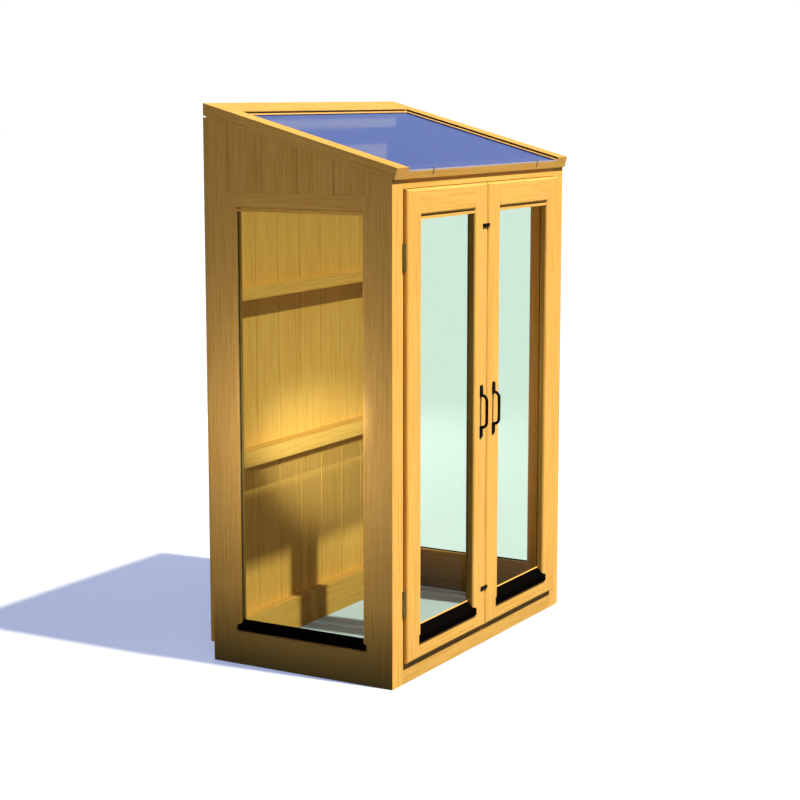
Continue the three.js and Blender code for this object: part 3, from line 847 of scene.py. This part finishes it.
def add_handle(side):
    """A bowed bar between two foot plates that are round at their far ends."""
    low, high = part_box(f"{side}_door_handle")
    middle_x, middle_z = (low.x + high.x) / 2, (low.z + high.z) / 2
    half_width, half_length = (high.x - low.x) / 2, (high.z - low.z) / 2
    seat = high.y
    plate_front = seat - HANDLE_PLATE
    bar_y = low.y + HANDLE_BAR_RADIUS
    plate_inner = half_length - HANDLE_FOOT
    foot_z = plate_inner + HANDLE_FOOT_OVERLAP
    round_z = half_length - half_width
    root_y = plate_front + HANDLE_ROOT

    def add_foot(shape, end):
        outline = [(middle_x + half_width, middle_z + end * plate_inner)]
        for turn in arc(HANDLE_FOOT_STEPS, math.pi):
            outline.append((
                middle_x + half_width * math.cos(turn),
                middle_z + end * (round_z + half_width * math.sin(turn)),
            ))
        outline.append((middle_x - half_width, middle_z + end * plate_inner))
        add_plate(shape, outline, seat, plate_front, HANDLE_EASE)
        for step in HANDLE_SCREWS:
            screw_z = middle_z + end * (half_length - step)
            add_screw_head(shape, middle_x, screw_z, plate_front, *HANDLE_SCREW)

    def build(shape):
        bend = [(
            plate_front - (plate_front - bar_y) * math.sin(turn),
            foot_z - HANDLE_BEND + HANDLE_BEND * math.cos(turn),
        ) for turn in arc(HANDLE_STEPS, QUARTER)]
        points = [(middle_x, root_y, middle_z + foot_z)]
        points += [(middle_x, y, middle_z + z) for y, z in bend]
        points += [(middle_x, y, middle_z - z) for y, z in reversed(bend)]
        points += [(middle_x, root_y, middle_z - foot_z)]
        add_tube(shape, points, HANDLE_BAR_RADIUS)
        for end in (1, -1):
            add_foot(shape, end)

    handle = mesh_object(f"{side}_handle", build, f"{side}_door", iron)
    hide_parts(f"{side}_door_handle")


def add_glass_clip(side):
    """A bent wire that hooks over the foot of the roof glass."""
    node = nodes[f"roof_{side}_glass_clip"]
    corners = [v.co for v in node.data.vertices]
    along = [v.dot(ROOF_SLOPE) for v in corners]
    above = [v.dot(ROOF_LIFT) for v in corners]
    middle = sum(v.x for v in corners) / len(corners)
    foot, top = min(along) + CLIP_WIRE, max(above) - CLIP_WIRE
    path = [(max(along) - CLIP_WIRE, top)]
    for turn in arc(CLIP_STEPS, QUARTER):
        path.append((
            foot + CLIP_BEND - CLIP_BEND * math.sin(turn),
            top - CLIP_BEND + CLIP_BEND * math.cos(turn),
        ))
    path.append((foot, min(above)))

    def build(shape):
        for offset in (-CLIP_OFFSET, CLIP_OFFSET):
            start = ALONG_X * (middle + offset)
            points = [start + ROOF_SLOPE * u + ROOF_LIFT * n for u, n in path]
            add_tube(shape, points, CLIP_WIRE, WIRE_SIDES)

    clip = mesh_object(f"roof_{side}_clip", build, "base", zinc)
    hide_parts(node.name)


def add_hinge_leaf(side, level, part, body):
    """One leaf and its knuckles, eased at their ends. The post's leaf also has the pin's tips."""
    name = f"{side}_{level}_hinge_{part}"
    low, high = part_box(name)
    post_low, post_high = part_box(f"{side}_{level}_hinge_post_leaf")
    axis_x, axis_y = joints[f"{side}_door_hinge"]["pos_m"][:2]
    foot = (post_low.z + post_high.z) / 2 - HINGE_LENGTH / 2
    head = foot + HINGE_LENGTH
    on_post = part == "post_leaf"
    if (side == "left") != on_post:
        leaf_x = (high.x - HINGE_LEAF, high.x)
    else:
        leaf_x = (low.x, low.x + HINGE_LEAF)

    def build(shape):
        eased = KNUCKLE_RADIUS - KNUCKLE_EASE
        profile = [
            (0.0, eased), (KNUCKLE_EASE, KNUCKLE_RADIUS),
            (KNUCKLE_LENGTH - KNUCKLE_EASE, KNUCKLE_RADIUS), (KNUCKLE_LENGTH, eased)]
        for knuckle in range(0 if on_post else 1, KNUCKLES, 2):
            start = foot + knuckle * KNUCKLE_PITCH + KNUCKLE_GAP
            add_lathe(shape, profile, (axis_x, axis_y, start), ALONG_Z)
        if on_post:
            add_lathe(shape, PIN_TIP, (axis_x, axis_y, foot), -ALONG_Z)
            add_lathe(shape, PIN_TIP, (axis_x, axis_y, head), ALONG_Z)
        add_block(
            shape, (leaf_x[0], axis_y + HINGE_LEAF_START, foot), (leaf_x[1], high.y, head))

    leaf = mesh_object(
        name.replace("hinge_", "hinge_detail_"), build, body, hinge_iron)
    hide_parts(name)


def add_turn_button(level):
    """A flat bar with eased edges, held by a domed screw."""
    name = f"{level}_turn_button"
    low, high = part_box(name)
    pivot_x, _, pivot_z = joints[f"{name}_pivot"]["pos_m"]
    front = high.y - BUTTON_PLATE
    reach_x = (high.x - low.x) / 2 - BUTTON_CORNER
    reach_z = (high.z - low.z) / 2 - BUTTON_CORNER

    def build(shape):
        outline = []
        for quarter, (a, b) in enumerate([(1, 1), (-1, 1), (-1, -1), (1, -1)]):
            for step in arc(BUTTON_CORNER_STEPS, QUARTER):
                turn = quarter * QUARTER + step
                outline.append((
                    pivot_x + a * reach_x + BUTTON_CORNER * math.cos(turn),
                    pivot_z + b * reach_z + BUTTON_CORNER * math.sin(turn),
                ))
        add_plate(shape, outline, high.y, front, BUTTON_EASE)
        add_screw_head(shape, pivot_x, pivot_z, front, *BUTTON_SCREW)

    button = mesh_object(f"{level}_button", build, f"{level}_button", iron)
    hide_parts(name)


# Beads, seals and dark strips of painted shade

CLEARANCE = 0.0003
CLOSE = 0.0002
SILL_BEAD_DEPTH = 0.0030
SILL_BEAD_FRONT = 0.0012
SILL_BEAD_BACK = 0.0034
WINDOW_SHADE_STRIP_GAP = 0.0004
WINDOW_SHADE_STRIP_DEPTH = 0.0060
WINDOW_SHADE_STRIP_EASE = 0.0003
WINDOW_SHADE_STRIP_RISE = 0.0004
WINDOW_SHADE_STRIP_START = 0.018
INNER_BEAD_DROP = 0.0045
INNER_BEAD_CHAMFER = 0.0015
PANEL_BEAD_GAP = 0.0022
PANEL_BEAD_LIP = 0.0012
PANEL_BEAD_CHAMFER = 0.0066
DOOR_BEAD_GAP = 0.0034
DOOR_BEAD_CHAMFER = 0.0006
DOOR_SEAL_SHADE_INSET = 0.0022
ROOF_BEAD_RISE = 0.0013
ROOF_BEAD_TOE = 0.0002
ROOF_SEAL_SHADE_WIDTH = 0.0016
ROOF_SEAL_SHADE_HEIGHT = 0.0050
ROOF_SEAL_SHADE_TIP = (0.0009, 0.0004)


def add_sill_bead(side):
    """A thin timber bead between the sill of a door and its glass."""
    sill_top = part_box(f"{side}_door_sill")[1].z
    glass_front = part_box(f"{side}_door_glass")[0].y
    rail_low, rail_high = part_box(f"{side}_door_bottom_rail")
    start = Vector((rail_low.x + CLEARANCE, glass_front - CLOSE, sill_top + CLOSE))
    end = Vector((rail_high.x - CLEARANCE, start.y, start.z))
    outline = [
        (0.0, 0.0), (-SILL_BEAD_DEPTH, 0.0),
        (-SILL_BEAD_DEPTH, SILL_BEAD_FRONT), (0.0, SILL_BEAD_BACK)]
    add_bar(
        f"{side}_door_sill_bead", outline, start, end, ALONG_Y, ALONG_Z,
        f"{side}_door", cross_bead)


def add_window_shade_strip():
    """A dark strip on the back edge of the left window, outside its glass: painted shade."""
    inner_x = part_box("left_panel_glass")[0].x - WINDOW_SHADE_STRIP_GAP
    rail_low, rail_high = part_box("left_panel_bottom_rail")
    outer_x = rail_low.x + WINDOW_SHADE_STRIP_DEPTH
    start_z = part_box("left_panel_sill")[0].z + WINDOW_SHADE_STRIP_START
    end_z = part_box("left_panel_head_bead")[0].z - CLEARANCE
    edge = ALONG_Y * (rail_high.y - CLEARANCE)
    outline = [
        (inner_x, 0.0), (outer_x, 0.0),
        (outer_x + WINDOW_SHADE_STRIP_EASE, -WINDOW_SHADE_STRIP_EASE), (inner_x, -WINDOW_SHADE_STRIP_RISE)]
    add_bar(
        "left_panel_back_shade_strip", outline, edge + ALONG_Z * start_z, edge + ALONG_Z * end_z,
        ALONG_X, ALONG_Y, "base", window_shade_strip)


def add_inner_bead(side):
    """A timber bead inside the foot of a side window's glass, up to near the sill's top."""
    sign = SIDES[side]
    glass_low, glass_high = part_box(f"{side}_panel_glass")
    rail_low, rail_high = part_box(f"{side}_panel_bottom_rail")
    near = min(abs(glass_low.x), abs(glass_high.x)) - CLEARANCE
    far = min(abs(rail_low.x), abs(rail_high.x)) + CLOSE
    foot = rail_high.z + CLOSE
    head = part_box(f"{side}_panel_sill")[1].z - INNER_BEAD_DROP
    outline = [
        (sign * near, foot), (sign * far, foot), (sign * far, head - INNER_BEAD_CHAMFER),
        (sign * (far + INNER_BEAD_CHAMFER), head), (sign * near, head)]
    add_bar(
        f"{side}_panel_inner_bead", outline,
        ALONG_Y * (rail_low.y + CLEARANCE), ALONG_Y * (rail_high.y - CLEARANCE),
        ALONG_X, ALONG_Z, "base", inner_bead)


def add_panel_head_bead(side):
    """The bead over a side window, cut back below, with a gap above it."""
    sign = SIDES[side]
    low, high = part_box(f"{side}_panel_head_bead")
    outer, inner = max(abs(low.x), abs(high.x)), min(abs(low.x), abs(high.x))
    head = high.z - PANEL_BEAD_GAP
    outline = [
        (sign * inner, head), (sign * outer, head), (sign * outer, head - PANEL_BEAD_LIP),
        (sign * (outer - PANEL_BEAD_CHAMFER), low.z), (sign * inner, low.z)]
    bead = add_bar(
        f"{side}_panel_bead", outline, ALONG_Y * low.y, ALONG_Y * high.y,
        ALONG_X, ALONG_Z, "base", side_bead)
    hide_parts(f"{side}_panel_head_bead")


def add_door_head_bead(side):
    """The bead over a door's glass, with a dark seal in the gap above it."""
    low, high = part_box(f"{side}_door_head_bead")
    head = high.z - DOOR_BEAD_GAP
    seal_shade_front = low.y + DOOR_SEAL_SHADE_INSET
    bead_outline = [
        (low.y, low.z), (low.y, head - DOOR_BEAD_CHAMFER), (low.y + DOOR_BEAD_CHAMFER, head),
        (high.y, head), (high.y, low.z)]
    seal_shade_outline = [
        (seal_shade_front, head + CLOSE), (seal_shade_front, high.z - CLOSE),
        (high.y, high.z - CLOSE), (high.y, head + CLOSE)]
    start, end = ALONG_X * low.x, ALONG_X * high.x
    bead = add_bar(
        f"{side}_door_bead", bead_outline, start, end, ALONG_Y, ALONG_Z,
        f"{side}_door", cross_bead)
    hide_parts(f"{side}_door_head_bead")
    # The dark seal also paints the shade in the gap under the top rail.
    add_bar(
        f"{side}_door_head_seal_shade", seal_shade_outline, start, end, ALONG_Y, ALONG_Z,
        f"{side}_door", seal_and_painted_shade)


def add_roof_beads():
    """Thin timber beads over the roof glass's side and back edges, each with a dark seal."""
    sheet = [v.co for v in nodes["roof_glass"].data.vertices]
    level = ROOF_LIFT * (max(v.dot(ROOF_LIFT) for v in sheet) + CLOSE)
    along = [v.dot(ROOF_SLOPE) for v in sheet]
    foot, head = ROOF_SLOPE * min(along) + level, ROOF_SLOPE * max(along) + level
    opening = -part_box("roof_left_rake")[1].x
    width = max(v.x for v in sheet) - opening
    bead = [
        (0.0, 0.0), (width, 0.0), (width, ROOF_BEAD_RISE),
        (ROOF_BEAD_RISE * 2, ROOF_BEAD_RISE), (0.0, ROOF_BEAD_TOE)]
    # The dark seals stand for seals and also paint the shade on the rebates' sides.
    seal_shade_top = ROOF_BEAD_RISE + ROOF_SEAL_SHADE_HEIGHT
    seal = [
        (width - ROOF_SEAL_SHADE_WIDTH, ROOF_BEAD_RISE), (width, ROOF_BEAD_RISE),
        (width, seal_shade_top), (width - ROOF_SEAL_SHADE_TIP[0], seal_shade_top + ROOF_SEAL_SHADE_TIP[1])]
    inner_head = head - ROOF_SLOPE * width
    runs = [
        (side, ALONG_X * sign, ALONG_X * sign * opening + foot,
         ALONG_X * sign * opening + head, rake_bead)
        for side, sign in SIDES.items()]
    runs.append((
        "back", ROOF_SLOPE, inner_head - ALONG_X * opening, inner_head + ALONG_X * opening,
        cross_bead))
    for place, across, start, end, timber in runs:
        add_bar(
            f"roof_{place}_bead", bead, start, end, across, ROOF_LIFT,
            "base", timber)
        add_bar(
            f"roof_{place}_seal", seal, start, end, across, ROOF_LIFT,
            "base", seal_and_painted_shade)


add_camera()
add_world()
add_lamps()
add_cards()
add_floor()

iron = plain_material(
    "black_iron", rgba(0.002, 0.002, 0.002), rgba(0.006, 0.005, 0.004),
    roughness=0.50, scale=60.0, bump=0.0002, specular=0.03)
hinge_iron = plain_material(
    "hinge_iron", rgba(0.10, 0.09, 0.03), rgba(0.17, 0.14, 0.045),
    roughness=0.34, scale=90.0, bump=0.0001, metallic=0.7)
sill_paint = plain_material(
    "sill_paint", rgba(0.002, 0.002, 0.002), rgba(0.003, 0.002, 0.001),
    roughness=0.65, scale=25.0, bump=0.0003, specular=0.0)
zinc = plain_material(
    "zinc", rgba(0.20, 0.15, 0.11), rgba(0.13, 0.10, 0.08),
    roughness=0.42, scale=120.0, bump=0.0001, metallic=0.6)
seal_and_painted_shade = plain_material(
    "seal_and_painted_shade", rgba(0.016, 0.012, 0.005), rgba(0.028, 0.020, 0.008),
    roughness=0.60, scale=80.0, bump=0.0002, specular=0.10)
window_shade_strip = plain_material(
    "window_shade_strip", rgba(0.070, 0.052, 0.016), rgba(0.10, 0.075, 0.024),
    roughness=0.60, scale=80.0, bump=0.0002, specular=0.10)
pane_glass = glass_material(
    "pane_glass", tint=rgba(0.875, 0.928, 0.880), lamp_tint=rgba(0.76, 0.77, 0.72),
    mirror_color=WHITE, mirror_range=(0.001, 0.12))
# The blue mirror colour and the blue body paint the reflection of a blue sky.
roof_pane = glass_material(
    "roof_pane", tint=rgba(0.77, 0.78, 0.73), lamp_tint=rgba(0.70, 0.72, 0.68),
    mirror_color=rgba(0.26, 0.36, 0.74), mirror_range=(0.02, 1.0),
    body=(rgba(0.045, 0.079, 0.27), 0.42, rgba(0.95, 0.82, 0.80)))
rake_bead = timber_material(
    "roof_bead", "rake", centre=Vector((0.0, 0.0, 1.7)), seed=71)
cross_bead = timber_material(
    "roof_bead_back", "x", centre=Vector((0.0, 0.27, 1.8)), seed=72)
side_bead = timber_material(
    "side_bead", "y", centre=Vector((0.0, 0.0, 1.48)), seed=73)
inner_bead = timber_material(
    "inner_bead", "y", centre=Vector((0.0, 0.0, 0.13)), seed=74, damp=FOOT_SHADE_PANEL)

GABLE_BOARDS = 4
BACK_BOARDS = 9
IRONWORK = ("hinge_post", "hinge_door", "button", "handle")

for number, (name, node) in enumerate(sorted(nodes.items())):
    low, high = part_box(name)
    if name.endswith("glass"):
        paint(node, roof_pane if name == "roof_glass" else pane_glass)
    elif name.endswith("sill"):
        paint(node, sill_paint)
        soften(node, SILL_ARRIS)
    elif name.endswith("clip"):
        paint(node, zinc)
    elif name.endswith("gable_boards"):
        paint(node, board_material(
            name, "y", low.y, (high.y - low.y) / GABLE_BOARDS, seed=SIDES[name.split("_")[0]],
            tone=0.06, seam_share=0.45, seam_width=0.0016))
        soften(node, 0.0)
    elif name == "back_boards":
        paint(node, board_material(
            name, "x", low.x, (high.x - low.x) / BACK_BOARDS, seed=3.0,
            tone=0.02, seam_share=0.15, seam_width=0.0042))
        soften(node, 0.0)
    elif not any(word in name for word in IRONWORK):
        paint(node, timber_material(
            name, grain_direction(name), (low + high) / 2, number,
            damp=foot_damp(name, low.z),
            reveal=name == "left_door_meeting_stile",
            drip=name == "front_threshold"))
        soften(node, TIMBER_ARRIS)

add_roof_beads()
add_window_shade_strip()
for side in SIDES:
    add_inner_bead(side)
    add_panel_head_bead(side)
    add_door_head_bead(side)
    add_sill_bead(side)
    add_glass_clip(side)
    add_handle(side)
    for level in LEVELS:
        add_hinge_leaf(side, level, "post_leaf", "base")
        add_hinge_leaf(side, level, "door_leaf", f"{side}_door")
for level in LEVELS:
    add_turn_button(level)

bpy.context.scene.view_settings.view_transform = "Standard"
